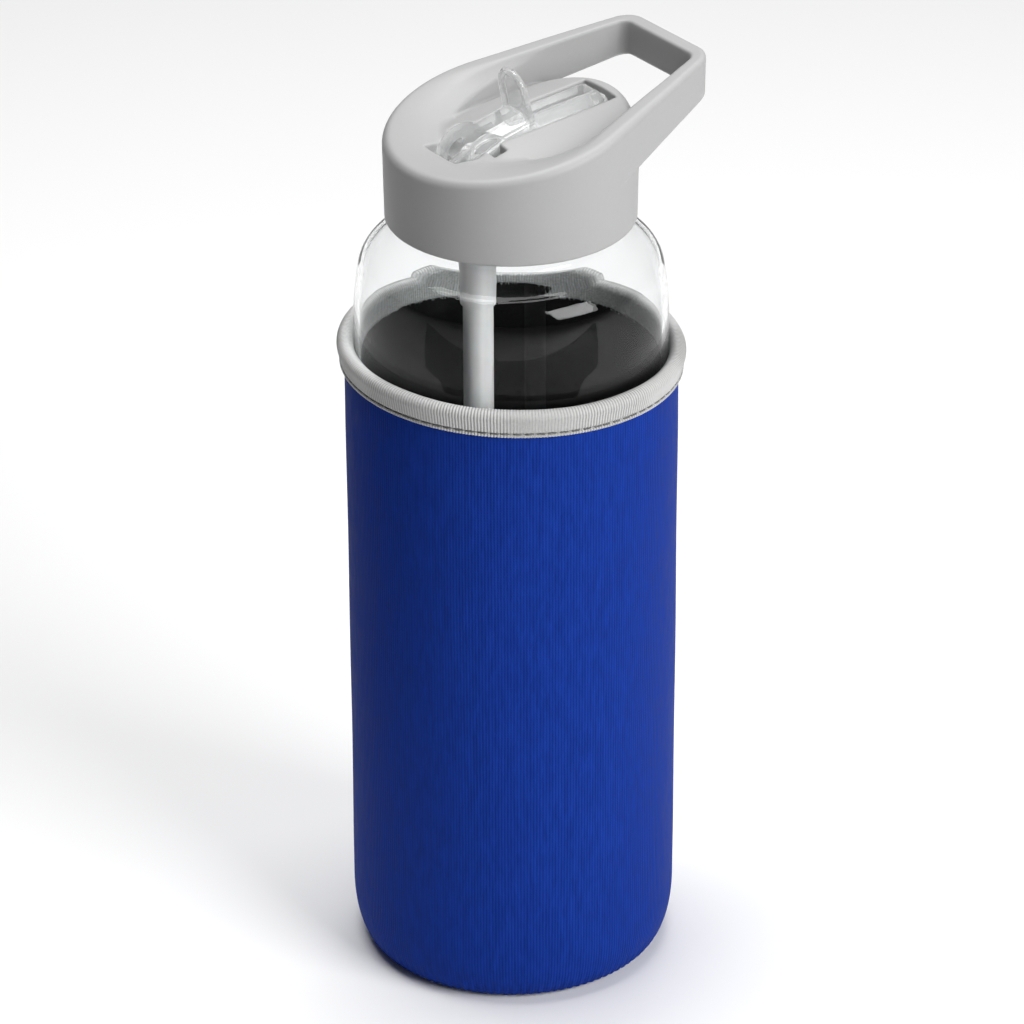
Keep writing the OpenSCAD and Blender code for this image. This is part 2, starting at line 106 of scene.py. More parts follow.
# ------------------------------------------------------------------ material helpers
class Nodes:
    """A material's node tree, with one short call for each kind of node."""

    def __init__(self, name, colour, roughness, **sockets):
        self.material = bpy.data.materials.new(name)
        self.material.use_nodes = True
        self.tree = self.material.node_tree
        self.shader = self.tree.nodes["Principled BSDF"]
        self.shader.inputs["Base Color"].default_value = (*colour, 1)
        self.shader.inputs["Roughness"].default_value = roughness
        for socket, value in sockets.items():
            self.shader.inputs[socket.replace("_", " ")].default_value = value

    def put(self, kind, inputs=(), **settings):
        node = self.tree.nodes.new(kind)
        for key, value in settings.items():
            setattr(node, key, value)
        for key, value in dict(inputs).items():
            if isinstance(value, bpy.types.NodeSocket):
                self.tree.links.new(value, node.inputs[key])
            else:
                node.inputs[key].default_value = value
        return node

    def math(self, operation, a, b=0.0):
        return self.put("ShaderNodeMath", {0: a, 1: b}, operation=operation).outputs[0]

    def place(self):
        """Where a point lies on the piece, in metres."""
        return self.put("ShaderNodeTexCoord").outputs["Object"]

    def around(self):
        """A point's angle about the bottle's axis, its height, and its distance from the axis, in metres."""
        split = self.put("ShaderNodeSeparateXYZ", {0: self.place()})
        x, y, z = split.outputs
        far = self.math("SQRT", self.math("ADD", self.math("MULTIPLY", x, x), self.math("MULTIPLY", y, y)))
        return self.math("ARCTAN2", y, x), z, far

    def noise(self, scale, detail=3.0, stretch=(1, 1, 1)):
        moved = self.put("ShaderNodeMapping", {"Vector": self.place(), "Scale": stretch})
        return self.put("ShaderNodeTexNoise", {"Vector": moved.outputs[0], "Scale": scale,
                                               "Detail": detail}).outputs["Fac"]

    def ramp(self, value, low_in, high_in, low_out=0.0, high_out=1.0):
        return self.put("ShaderNodeMapRange", {0: value, 1: low_in, 2: high_in, 3: low_out,
                                               4: high_out}).outputs[0]

    def blend(self, share, a, b):
        """Colour a where share is 0 and b where it is 1."""
        node = self.put("ShaderNodeMix", data_type="RGBA")
        for socket, value in ((node.inputs[0], share), (node.inputs[6], a), (node.inputs[7], b)):
            if isinstance(value, bpy.types.NodeSocket):
                self.tree.links.new(value, socket)
            else:
                socket.default_value = (*value, 1)
        return node.outputs[2]

    def set(self, socket, value):
        self.tree.links.new(value, self.shader.inputs[socket])

    def bump(self, height, distance, strength=1.0):
        """Raises the surface by distance metres where height is 1."""
        node = self.put("ShaderNodeBump", {"Height": height, "Distance": distance, "Strength": strength})
        self.tree.links.new(node.outputs[0], self.shader.inputs["Normal"])

    def lets_lamps_through(self, tint):
        """Rays from lamps go straight through this glass, tinted, so that what it holds is lit."""
        clear = self.put("ShaderNodeBsdfTransparent", {"Color": (*tint, 1)})
        path = self.put("ShaderNodeLightPath")
        mix = self.put("ShaderNodeMixShader", {0: path.outputs["Is Shadow Ray"]})
        self.tree.links.new(self.shader.outputs[0], mix.inputs[1])
        self.tree.links.new(clear.outputs[0], mix.inputs[2])
        self.tree.links.new(mix.outputs[0], self.tree.nodes["Material Output"].inputs[0])


KNIT_RIBS = 330              # upright ribs round the sleeve
LOOP_H = 0.0007              # height of one loop of the knit, in metres
TAPE_RIBS = 344              # ribs round the binding


def jersey():
    """Knitted face of the neoprene: fine upright ribs of small loops, a little uneven."""
    m = Nodes("blue_jersey", (0.011, 0.034, 0.245), 0.75, Specular_IOR_Level=0.05)
    angle, height, _ = m.around()
    wander = m.math("MULTIPLY", m.noise(90, 2, (1, 1, 0.12)), 1.6)
    ribs = m.math("SINE", m.math("ADD", m.math("MULTIPLY", angle, KNIT_RIBS),
                                 m.math("MULTIPLY", wander, 4)))
    loops = m.math("SINE", m.math("ADD", m.math("MULTIPLY", height, TURN / LOOP_H), ribs))
    grain = m.noise(900, 2, (1, 1, 0.18))
    relief = m.math("ADD", m.math("MULTIPLY", ribs, 0.35), m.math("MULTIPLY", loops, 0.12))
    relief = m.math("ADD", relief, m.math("MULTIPLY", grain, 1.1))
    # The rib term makes the crests a little lighter and the grooves darker, matching the bump: painted
    # highlight and shade. The grain adds tone that differs at random.
    tone = m.math("ADD", m.math("MULTIPLY", ribs, 0.08), m.math("MULTIPLY", grain, 0.9))
    m.set("Base Color", m.blend(m.ramp(tone, 0.25, 0.7), (0.0034, 0.0245, 0.207), (0.007, 0.036, 0.28)))
    m.set("Roughness", m.ramp(grain, 0.3, 0.7, 0.56, 0.72))
    m.bump(relief, 0.00008, 0.7)
    return m.material


def brushed_lining():
    """Black inner face of the neoprene, smooth and slightly glossy, with soft creases across it."""
    m = Nodes("black_lining", (0.003, 0.003, 0.003), 0.6, Specular_IOR_Level=0.04)
    creases = m.noise(70, 3, (1, 1, 4))
    pile = m.noise(1500, 2)
    m.set("Base Color", m.blend(m.ramp(pile, 0.3, 0.7), (0.0015, 0.0015, 0.0015), (0.004, 0.004, 0.004)))
    m.set("Roughness", m.ramp(pile, 0.3, 0.7, 0.42, 0.6))
    m.bump(creases, 0.0004, 0.4)
    return m.material


def grosgrain():
    """Grey ribbed tape: filaments run along each rib, which the mesh itself raises; the colour paints the rib
    crests lighter and the grooves darker as painted highlight and shade.
    """
    m = Nodes("grey_grosgrain", (0.47, 0.47, 0.465), 0.5, Sheen_Weight=0.1, Sheen_Roughness=0.4)
    angle, _, far = m.around()
    ribs = m.math("COSINE", m.math("MULTIPLY", angle, TAPE_RIBS))
    strands = m.noise(2600, 2, (0.5, 0.5, 1))
    # Rib crests painted lighter and grooves darker (painted highlight and shade), plus the strands' tone that
    # differs at random.
    rib_shade_and_strands = m.ramp(m.math("ADD", ribs, m.math("MULTIPLY", strands, 1.4)), -0.4, 1.4)
    outer = m.blend(rib_shade_and_strands, (0.29, 0.29, 0.286), (0.51, 0.51, 0.505))
    # The face inside the mouth is painted darker than the outer face: painted shade where the tape turns in
    # towards the glass.
    inner = m.blend(strands, (0.12, 0.12, 0.118), (0.42, 0.42, 0.414))
    m.set("Base Color", m.blend(m.ramp(far, (SLEEVE_IN + 0.3) * MM, (SLEEVE_IN + 1.4) * MM), inner, outer))
    m.set("Roughness", m.ramp(strands, 0.3, 0.7, 0.42, 0.6))
    m.bump(strands, 0.00006, 0.6)
    return m.material


def thread(name, dark, light):
    """Twisted sewing thread, with a ply running round it."""
    m = Nodes(name, light, 0.55, Sheen_Weight=0.15)
    ply = m.put("ShaderNodeTexWave", {"Vector": m.place(), "Scale": 900, "Distortion": 3, "Detail": 1},
                bands_direction="DIAGONAL").outputs["Fac"]
    # The ply's grooves are painted darker and its crests lighter, following the bump: painted shade and
    # highlight along the twist.
    m.set("Base Color", m.blend(ply, dark, light))
    m.set("Roughness", m.ramp(ply, 0, 1, 0.62, 0.48))
    m.bump(ply, 0.00005)
    return m.material


def bottle_glass():
    """Clear soda-lime glass, with a faint waviness left by the mould."""
    m = Nodes("clear_glass", (0.985, 0.993, 0.995), 0.0, Transmission_Weight=1.0, IOR=1.06,
              Coat_Weight=0.35, Coat_Roughness=0.0, Coat_IOR=1.5)
    wave = m.noise(28, 0, (1, 1, 0.5))
    m.bump(wave, 0.0001, 0.12)
    m.lets_lamps_through((0.93, 0.945, 0.945))
    return m.material


def satin_plastic(name, dark, light, roughness, grain=1100, depth=0.00003):
    """Moulded plastic with a fine, even spark-eroded grain and a trace of handling."""
    m = Nodes(name, light, roughness, Specular_IOR_Level=0.42)
    fine = m.noise(grain, 3)
    cloud = m.noise(45, 3)
    tone = m.math("ADD", m.math("MULTIPLY", fine, 0.35), m.math("MULTIPLY", cloud, 0.65))
    m.set("Base Color", m.blend(tone, dark, light))
    m.set("Roughness", m.ramp(cloud, 0.3, 0.7, roughness - 0.05, roughness + 0.05))
    m.bump(fine, depth, 0.5)
    return m.material


def clear_plastic():
    """Water-clear moulded plastic, with faint flow lines."""
    m = Nodes("clear_plastic", (0.86, 0.865, 0.865), 0.05, Transmission_Weight=0.84, IOR=1.25,
              Coat_Weight=0.9, Coat_Roughness=0.05, Coat_IOR=1.45)
    flow = m.noise(160, 2, (1, 3, 1))
    m.set("Roughness", m.ramp(flow, 0.3, 0.7, 0.04, 0.11))
    m.bump(flow, 0.0001, 0.3)
    m.lets_lamps_through((0.86, 0.865, 0.865))
    return m.material


def milky_plastic(name, colour, clear, roughness):
    """Frosted, part see-through plastic, drawn lengthwise."""
    m = Nodes(name, colour, roughness, Transmission_Weight=clear, IOR=1.45, Subsurface_Weight=0.1,
              Subsurface_Scale=0.002)
    drawn = m.noise(420, 2, (1, 1, 0.04))
    dull = tuple(0.86 * c for c in colour)
    m.set("Base Color", m.blend(m.ramp(drawn, 0.3, 0.7), dull, colour))
    m.set("Roughness", m.ramp(drawn, 0.3, 0.7, roughness - 0.06, roughness + 0.06))
    m.bump(drawn, 0.00006, 0.4)
    return m.material


def silicone(name, colour):
    """Soft moulded silicone, with a faint dusting that dulls it in patches."""
    m = Nodes(name, colour, 0.45, Subsurface_Weight=0.15, Subsurface_Scale=0.001)
    dust = m.noise(300, 4)
    m.set("Base Color", m.blend(m.ramp(dust, 0.35, 0.7), tuple(0.9 * c for c in colour), colour))
    m.set("Roughness", m.ramp(dust, 0.3, 0.7, 0.38, 0.56))
    m.bump(dust, 0.00004, 0.5)
    return m.material


# ------------------------------------------------------------------ mesh helpers
def mesh_piece(name, points, faces, material, body, replaced=()):
    """A smooth-shaded piece from points in millimetres, riding on a body."""
    merge = 0.001            # points closer than this are one
    mesh = bpy.data.meshes.new(name)
    mesh.from_pydata((np.asarray(points) * MM).tolist(), [], np.asarray(faces).tolist())
    bm = bmesh.new()
    bm.from_mesh(mesh)
    bmesh.ops.remove_doubles(bm, verts=bm.verts, dist=merge * MM)
    bmesh.ops.recalc_face_normals(bm, faces=bm.faces)
    bm.to_mesh(mesh)
    bm.free()
    mesh.polygons.foreach_set("use_smooth", [True] * len(mesh.polygons))
    mesh.materials.append(material)
    piece = bpy.data.objects.new(name, mesh)
    bpy.context.scene.collection.objects.link(piece)
    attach(piece, body)
    if replaced:
        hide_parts(*replaced)
    return piece


def arc(centre, radius, start, stop, count=12):
    """Points of an arc, angles in degrees; radius is one number, or one for each axis."""
    rx, rz = radius if isinstance(radius, tuple) else (radius, radius)
    turns = np.radians(np.linspace(start, stop, count + 1))
    return [(centre[0] + rx * math.cos(t), centre[1] + rz * math.sin(t)) for t in turns]


def spaced(outline, step):
    """The outline with extra points, so that no stretch is longer than step."""
    out = []
    for a, b in zip(outline[:-1], outline[1:]):
        parts = max(1, math.ceil(math.dist(a, b) / step))
        out += [(a[0] + (b[0] - a[0]) * i / parts, a[1] + (b[1] - a[1]) * i / parts) for i in range(parts)]
    return out + [outline[-1]]


def grid_faces(rows, columns, close_rows, close_columns):
    """Quads over a grid of points numbered row by row."""
    r = np.arange(rows if close_rows else rows - 1)[:, None]
    c = np.arange(columns if close_columns else columns - 1)[None, :]
    r2, c2 = (r + 1) % rows, (c + 1) % columns
    return np.stack([r * columns + c, r * columns + c2, r2 * columns + c2, r2 * columns + c],
                    -1).reshape(-1, 4)


def lathe(outline, steps, closed=True, warp=None):
    """Points and faces of an outline of (radius, height) turned about Z.

    warp takes arrays of radius, height and angle, and gives back new radius and height."""
    radius, height = (np.repeat(np.array(outline)[:, i:i + 1], steps, axis=1) for i in (0, 1))
    angle = np.arange(steps)[None, :] * TURN / steps + 0 * radius
    if warp:
        radius, height = warp(radius, height, angle)
    points = np.stack([radius * np.cos(angle), radius * np.sin(angle), height], -1)
    return points.reshape(-1, 3), grid_faces(len(outline), steps, closed, True)


def strand(path, thickness, sides=7):
    """A round-ended thread along a path of points."""
    path = np.asarray(path, float)
    along = np.gradient(path, axis=0)
    along /= np.linalg.norm(along, axis=1)[:, None]
    side = np.cross(along, np.where(np.abs(along[:, 2:]) > 0.9, (1.0, 0, 0), (0, 0, 1.0)))
    side /= np.linalg.norm(side, axis=1)[:, None]
    other = np.cross(along, side)
    share = np.linspace(-1, 1, len(path))
    radius = thickness / 2 * np.sqrt(np.clip(1 - np.abs(share) ** 8, 0, 1))[:, None, None]
    turns = np.arange(sides) * TURN / sides
    ring = side[:, None] * np.cos(turns)[None, :, None] + other[:, None] * np.sin(turns)[None, :, None]
    return (path[:, None] + radius * ring).reshape(-1, 3), grid_faces(len(path), sides, False, True)


def joined(parts):
    """One set of points and faces from several."""
    points, faces, count = [], [], 0
    for p, f in parts:
        points.append(p)
        faces.append(f + count)
        count += len(p)
    return np.concatenate(points), np.concatenate(faces)


# Signed distances: negative inside. The r in these is the radius of the edge that they leave.
def cut(a, b, r=0.3):
    """What lies in both a and b, its outer edge rounded."""
    return np.minimum(-r, np.maximum(a, b)) + np.hypot(np.maximum(r + a, 0), np.maximum(r + b, 0))


def join(a, b, r=0.3):
    """What lies in a or b, its inner corner filled."""
    return -cut(-a, -b, r)


def smooth_step(x, a, b):
    t = np.clip((x - a) / (b - a), 0, 1)
    return t * t * (3 - 2 * t)


def skin(field, low_corner, high_corner, step):
    """Points and quads on the zero level of a signed distance, by surface nets, drawn onto it."""
    probe = 0.05             # distance over which the field's slope is measured
    axes = [np.arange(a, b + step, step, dtype=np.float32) for a, b in zip(low_corner, high_corner)]
    x, y, z = axes[0][:, None, None], axes[1][None, :, None], axes[2][None, None, :]
    values = field(x, y, z).astype(np.float32) * np.ones([len(a) for a in axes], np.float32)
    inside = values < 0
    cell = np.zeros([n - 1 for n in values.shape], np.int8)
    corners = [(i, j, k) for i in (0, 1) for j in (0, 1) for k in (0, 1)]
    for i, j, k in corners:
        cell += inside[i:i + cell.shape[0], j:j + cell.shape[1], k:k + cell.shape[2]]
    at = np.nonzero((cell > 0) & (cell < 8))
    number = np.full(cell.shape, -1, np.int64)
    number[at] = np.arange(len(at[0]))
    total, hits = np.zeros((len(at[0]), 3)), np.zeros(len(at[0]))
    for a in corners:
        for b in corners:
            if sum(b) - sum(a) == 1 and all(q >= p for p, q in zip(a, b)):
                va = values[at[0] + a[0], at[1] + a[1], at[2] + a[2]]
                vb = values[at[0] + b[0], at[1] + b[1], at[2] + b[2]]
                cross = (va < 0) != (vb < 0)
                share = np.where(cross, va / np.where(cross, va - vb, 1), 0)[:, None]
                total += cross[:, None] * (np.array(a) + share * (np.array(b) - np.array(a)))
                hits += cross
    points = (np.stack(at, -1) + total / hits[:, None]) * step + np.array([a[0] for a in axes])
    faces = []
    for axis in range(3):
        u, v = (axis + 1) % 3, (axis + 2) % 3
        first = np.moveaxis(inside, axis, 0)[:-1]
        second = np.moveaxis(inside, axis, 0)[1:]
        edge = np.stack(np.nonzero(np.moveaxis(first != second, 0, axis)), -1)
        edge = edge[(edge[:, u] > 0) & (edge[:, v] > 0)]
        edge = edge[(edge[:, u] < cell.shape[u]) & (edge[:, v] < cell.shape[v])]
        quad = []
        for du, dv in ((-1, -1), (0, -1), (0, 0), (-1, 0)):
            c = edge.copy()
            c[:, u] += du
            c[:, v] += dv
            quad.append(number[tuple(c.T)])
        quad = np.stack(quad, -1)
        flip = ~inside[tuple(edge.T)]
        quad[flip] = quad[flip][:, ::-1]
        faces.append(quad)
    for _ in range(4):
        value = field(*points.T)
        slope = np.stack([field(*(points + d).T) - field(*(points - d).T)
                          for d in np.eye(3) * probe], -1) / (2 * probe)
        move = value / np.maximum((slope ** 2).sum(-1), 0.25)
        points -= np.clip(move, -step / 2, step / 2)[:, None] * slope
    return points, np.concatenate(faces)


# ------------------------------------------------------------------ sleeve
SIT = 1.2                    # how much higher the left of the sleeve's mouth sits than its middle
sit_side = Vector((math.cos(AZIMUTH), math.sin(AZIMUTH)))


def worn(radius, height, angle):
    """The sleeve as it sits: its mouth a little out of level."""
    across = radius * (sit_side.x * np.cos(angle) + sit_side.y * np.sin(angle))
    height = height - SIT * across / BIND_R * smooth_step(height, 60, SLEEVE_H)
    return radius, height


def slack(height, angle):
    """Faint waves of cloth that is stretched over the glass."""
    wave = np.sin(3 * angle + 1 + 0.02 * height) + 0.7 * np.sin(5 * angle - 0.035 * height)
    wave += 0.5 * np.sin(0.11 * height + 2 * angle)
    return 0.09 * wave * smooth_step(height, 6, 30) * (1 - smooth_step(height, 138, 154))


def sleeve_cover():
    """Outer, coloured layer of the sleeve, rounding in to the seam at its foot."""
    foot = (SLEEVE_R - FOOT_IN, FOOT_H)
    outline = arc(foot, (FOOT_IN, FOOT_H - 0.5), -90, 0, 20)
    outline += [(SLEEVE_R, SLEEVE_H), (SLEEVE_R - COVER_T + RIM_THIN, SLEEVE_H)]
    outline += [(SLEEVE_R - COVER_T + RIM_THIN, RIM_HIGH), (SLEEVE_R - COVER_T, RIM_LOW)]
    outline += arc(foot, (FOOT_IN - COVER_T, FOOT_H - 1.4), 0, -90, 20)

    def shaped(radius, height, angle):
        radius = radius + slack(height, angle)
        tuck = 0.35 * np.sin(angle * BASE_STITCHES) ** 2 * (1 - smooth_step(height, 1, 7))
        return worn(radius - tuck, height, angle)

    points, faces = lathe(spaced(outline, 2.0), 720, warp=shaped)
    piece = mesh_piece("sleeve_cloth", points, faces, jersey(), "sleeve",
                       ["sleeve_cover"])


def sleeve_lining():
    """Black inner layer of the sleeve."""
    foot = (SLEEVE_R - FOOT_IN, FOOT_H)
    outer, inner = SLEEVE_R - COVER_T - GAP, SLEEVE_IN
    room = 0.7               # left inside the lining's rim for the tape
    outline = arc(foot, (outer - foot[0], FOOT_H - 1.5), -90, 0, 14)
    outline += [(outer, RIM_LOW), (outer + RIM_THIN, RIM_HIGH), (outer + RIM_THIN, SLEEVE_H)]
    outline += [(inner + room, SLEEVE_H), (inner + room, RIM_HIGH), (inner, RIM_LOW)]
    outline += arc(foot, (inner - foot[0], FOOT_H - 2.6), 0, -90, 14)
    points, faces = lathe(spaced(outline, 3.0), 240, warp=worn)
    piece = mesh_piece("sleeve_inside", points, faces, brushed_lining(), "sleeve",
                       ["sleeve_lining"])


BASE_STITCHES = 56           # pairs of stitches round the sleeve's foot
DISC_R = SLEEVE_R - FOOT_IN - 0.9


def base():
    """Round base panel, in the same two layers as the wall, and its overlocked edge."""
    half = 0.6               # half of the panel's thickness
    outline = [(0, 0), (DISC_R - 1.5, 0)] + arc((DISC_R - half, half), half, -90, 90, 6) + [(0, 2 * half)]
    points, faces = lathe(spaced(outline, 2.0), 240, closed=False)
    panel = mesh_piece("base_cloth", points, faces, jersey(), "sleeve", ["base_disc"])
    low_z, high_z = 1.25, 2.1
    outline = [(0, low_z), (DISC_R, low_z), (DISC_R, high_z), (0, high_z)]
    points, faces = lathe(spaced(outline, 2.0), 180, closed=False)
    inside = mesh_piece("base_inside", points, faces, brushed_lining(), "sleeve",
                        ["base_lining"])
    seam_r, loop_t, edge_t = SLEEVE_R - FOOT_IN - 0.45, 0.42, 0.6
    loops = []
    for i in range(BASE_STITCHES * 2):
        a = TURN * (i + 0.25) / (BASE_STITCHES * 2)
        path = []
        for t in np.linspace(0, 1, 9):
            lean = a + (t - 0.5) * 0.5 * TURN / (BASE_STITCHES * 2)
            r = seam_r - 1.4 + 2.5 * t
            path.append((r * math.cos(lean), r * math.sin(lean), 0.35 + 1.1 * t * t))
        loops.append(strand(path, loop_t))
    edge = [(seam_r * math.cos(t), seam_r * math.sin(t), 0.7 + 0.12 * math.sin(t * BASE_STITCHES * 2))
            for t in np.linspace(0, TURN, 720)]
    loops.append(strand(edge, edge_t))
    points, faces = joined(loops)
    seam = mesh_piece("base_overlock", points, faces, thread("navy_thread", (0.004, 0.012, 0.09),
                                                             (0.008, 0.024, 0.17)),
                      "sleeve", ["base_seam"])


def side_seam():
    """Flat-lock seam up the back: two rows of thread, with a zigzag laid over the join."""
    start, end = FOOT_H + 1, BIND_LOW - 0.3
    half, pitch = 2.3, 1.5   # half of the seam's width, and the height of one zigzag
    zigzag_t, row_t = 0.42, 0.45
    rows = int((end - start) / pitch)
    parts = []

    def on_wall(across, height):
        angle = TURN / 4 + across / SLEEVE_R
        r, z = worn(np.array(SLEEVE_R + 0.12 + slack(height, angle)), np.array(height), angle)
        return (float(r) * math.cos(angle), float(r) * math.sin(angle), float(z))

    for i in range(rows):
        z = start + i * pitch
        side = 1 if i % 2 else -1
        path = [on_wall(side * half * (1 - 2 * t), z + pitch * t) for t in np.linspace(0, 1, 9)]
        parts.append(strand(path, zigzag_t))
    for across in (-half, half):
        line = np.linspace(start, end, rows * 4)
        path = [on_wall(across + 0.08 * math.sin(z * TURN / pitch), z) for z in line]
        parts.append(strand(path, row_t))
    points, faces = joined(parts)
    mesh_piece("side_flatlock", points, faces, bpy.data.materials["navy_thread"], "sleeve",
               ["side_seam"])


def binding():
    """Ribbed tape folded over the sleeve's mouth, pinched by a line of stitching near its lower edge."""
    tape_t = 0.65
    round_r = (BIND_R - SLEEVE_IN) / 2
    mid_r, mid_z = SLEEVE_IN + round_r, BIND_TOP - round_r
    stitch_z = BIND_LOW + 0.95
    outline = [(SLEEVE_R + GAP, BIND_LOW), (SLEEVE_R + 0.85, BIND_LOW + 0.05)]
    outline += arc((SLEEVE_R + 0.75, BIND_LOW + 0.45), 0.4, -40, 60, 4)
    outline += [(SLEEVE_R + 0.62, stitch_z), (SLEEVE_R + 1.15, stitch_z + 0.5)]
    outline += arc((mid_r, mid_z), (round_r, 2.3), -28, 0, 5) + arc((mid_r, mid_z), round_r, 8, 180, 18)
    outline += [(SLEEVE_IN, BIND_LOW + 2.2), (SLEEVE_IN + 0.05, BIND_LOW + 0.4)]
    outline += [(SLEEVE_IN + tape_t, BIND_LOW + 0.3), (SLEEVE_IN + tape_t, SLEEVE_H + GAP)]
    outline += [(SLEEVE_R + GAP, SLEEVE_H + GAP)]
    outline = spaced(outline, 0.7)
    shell = np.array(outline)
    tangent = np.roll(shell, -1, axis=0) - np.roll(shell, 1, axis=0)
    normal = np.stack([tangent[:, 1], -tangent[:, 0]], -1) / np.linalg.norm(tangent, axis=1)[:, None]
    hidden = (shell[:, 0] > SLEEVE_IN + 0.2) & (shell[:, 0] < SLEEVE_R + 0.2) & (shell[:, 1] < SLEEVE_H + 0.2)

    def ribbed(radius, height, angle):
        lean = angle + 0.006 * np.sin(7 * angle)
        rise = 0.13 * (np.abs(np.cos(lean * TAPE_RIBS / 2)) - 0.5)
        rise = rise + 0.05 * np.sin(9 * angle + 2) * (height > BIND_LOW + 1.6)
        rise = rise * ~hidden[:, None]
        return worn(radius + rise * normal[:, :1], height + rise * normal[:, 1:], angle)

    points, faces = lathe(outline, TAPE_RIBS * 6, warp=ribbed)
    tape = mesh_piece("binding_ribbed_tape", points, faces, grosgrain(), "sleeve",
                      ["rim_binding"])
    stitches = []
    count, stitch_t = 92, 0.36
    for i in range(count):
        a0 = TURN * i / count + 0.004 * random.standard_normal()
        arc_len = TURN / count * 0.84
        path = []
        for t in np.linspace(0, 1, 9):
            a = a0 + arc_len * t
            sink = 0.34 * (2 * t - 1) ** 4
            r, z = worn(np.array(SLEEVE_R + 1.0 - sink), np.array(stitch_z + 0.05 * math.sin(5 * a)), a)
            path.append((float(r) * math.cos(a), float(r) * math.sin(a), float(z)))
        stitches.append(strand(path, stitch_t))
    points, faces = joined(stitches)
    outside = mesh_piece("binding_lockstitch", points, faces,
                         thread("grey_thread", (0.07, 0.07, 0.07), (0.2, 0.2, 0.2)), "sleeve",
                         ["binding_stitch"])
    frays = []
    count, fray_t = 420, 0.2
    for i in range(count):
        a = TURN * (i + random.uniform(-0.4, 0.4)) / count
        reach = random.uniform(0.5, 1.5)
        drift = random.uniform(-0.5, 0.5)
        path = []
        for t in np.linspace(0, 1, 6):
            turn = a + drift * t / SLEEVE_IN
            r, z = worn(np.array(SLEEVE_IN - 0.02 + 0.1 * t), np.array(BIND_LOW + 1.0 - reach * t), turn)
            path.append((float(r) * math.cos(turn), float(r) * math.sin(turn), float(z)))
        frays.append(strand(path, fray_t, 5))
    points, faces = joined(frays)
    inner = mesh_piece("binding_inner_stitch", points, faces,
                       thread("pale_thread", (0.12, 0.12, 0.12), (0.4, 0.4, 0.4)), "sleeve")


# ------------------------------------------------------------------ bottle
def glass():
    """One blown bottle: thick foot, straight wall, full shoulder, short neck with a screw thread."""
    heel_r, neck_fillet, lip = 14, 2.0, 1.2
    shoulder_r, shoulder_z, turn = 76, 167.5, 10.6    # the long, slow curve, and the degrees it turns
    crown_r, crown_end = 9, 76                        # the tight curve over it
    heel = (GLASS_R - heel_r, GLASS_Z + heel_r)
    long = (GLASS_R - shoulder_r, shoulder_z)
    crown = (long[0] + (shoulder_r - crown_r) * math.cos(math.radians(turn)),
             long[1] + (shoulder_r - crown_r) * math.sin(math.radians(turn)))
    crown_top = crown[1] + crown_r * math.sin(math.radians(crown_end))
    crown_t = 1.5                                     # blown glass is thinner over the shoulder
    outline = [(0, GLASS_Z + 2.2)] + arc((heel[0] - 4.5, GLASS_Z - 8), 10, 100, 68, 6)
    outline += arc(heel, heel_r, -84, 0, 20) + arc(long, shoulder_r, 0, turn, 10)
    outline += arc(crown, crown_r, turn, crown_end, 16)
    outline += arc((NECK_R + neck_fillet, crown_top + 1 + neck_fillet), neck_fillet, -100, -180, 8)
    outline += [(NECK_R, crown_top + 3.4 + 0.4 * i) for i in range(int((MOUTH_Z - crown_top - 5) / 0.4))]
    outline += arc((NECK_R - lip, MOUTH_Z - lip), lip, 0, 90, 6)
    outline += arc((NECK_R - GLASS_T + lip, MOUTH_Z - lip), lip, 90, 180, 6)
    outline += [(NECK_R - GLASS_T, crown_top + 3)]
    outline += arc(crown, crown_r - crown_t, crown_end - 4, turn, 14)
    outline += arc(long, shoulder_r - crown_t, turn, 0, 10)
    outline += arc(heel, heel_r - GLASS_T, 0, -58, 14) + [(0, GLASS_Z + 6)]
    thread_z, lead, depth, width, turns = MOUTH_Z - 6, 3.6, 1.3, 2.6, 1.2

    def threaded(radius, height, angle):
        rise = 0 * radius
        for lap in range(3):
            swept = angle + TURN * (lap - 1)
            centre = thread_z + lead * swept / TURN
            ends = smooth_step(swept, 0, 0.35) * (1 - smooth_step(swept, TURN * turns - 0.35, TURN * turns))
            rise = np.maximum(rise, ends * (1 - smooth_step(np.abs(height - centre), 0.5, width / 2)))
        outer = (radius > NECK_R - 0.01) & (height > crown_top + 3)
        return radius + depth * rise * outer, height

    points, faces = lathe(spaced(outline, 4.0), 288, closed=False, warp=threaded)
    mesh_piece("bottle_glass", points, faces, bottle_glass(), "bottle", ["glass_bottle"])


def straw():
    """Drinking straw: a thin tube, its foot cut square and its ends softened."""
    r, wall = top("straw", 1), 0.6
    low_z, high_z = low("straw", 2), top("straw", 2)
    outline = arc((r - wall / 2, low_z + wall / 2), wall / 2, -180, 0, 6)
    outline += arc((r - wall / 2, high_z - wall / 2), wall / 2, 0, 180, 6)
    outline.append(outline[0])
    points, faces = lathe(spaced(outline, 6.0)[:-1], 72)
    points = points + (PIVOT_X, 0, 0)
    material = milky_plastic("straw_plastic", (0.52, 0.52, 0.52), 0.0, 0.4)
    mesh_piece("drinking_straw", points, faces, material, "lid", ["straw"])


# ------------------------------------------------------------------ lid
CORNER_X, CORNER_Y, CORNER_R = LOOP_X - 6, 11, 6    # the two outer corners of the carry loop
STRAP = 3.2                  # thickness of the loop's arms and bar
CREST_R = 24.8               # inner edge of the rim
DRAFT, DRAFT_H = 0.4, 25     # the wall widens upward by this much over this height
INNER_R = 20.9               # room inside the glass neck for what hangs from the lid
CUP_R = 27.85                # room inside the wall for the thread collar
ARM_SLOPE = 0.29             # rise of the arms' underside for each millimetre along X
ARM_ROOT = (26.2, 214.8)     # a point on its inner edge
ARM_LEAN = 0.65              # how far it falls for each millimetre outward
DECK_Z, DECK_SLOPE = 217.5, math.radians(5)
DECK_CROWN, DECK_R = 45, 29.2    # radius that the deck is crowned to, and its reach in plan
CHANNEL_W = 6.25             # half the width of the spout's channel
SPOUT_SLOPE = math.radians(5)


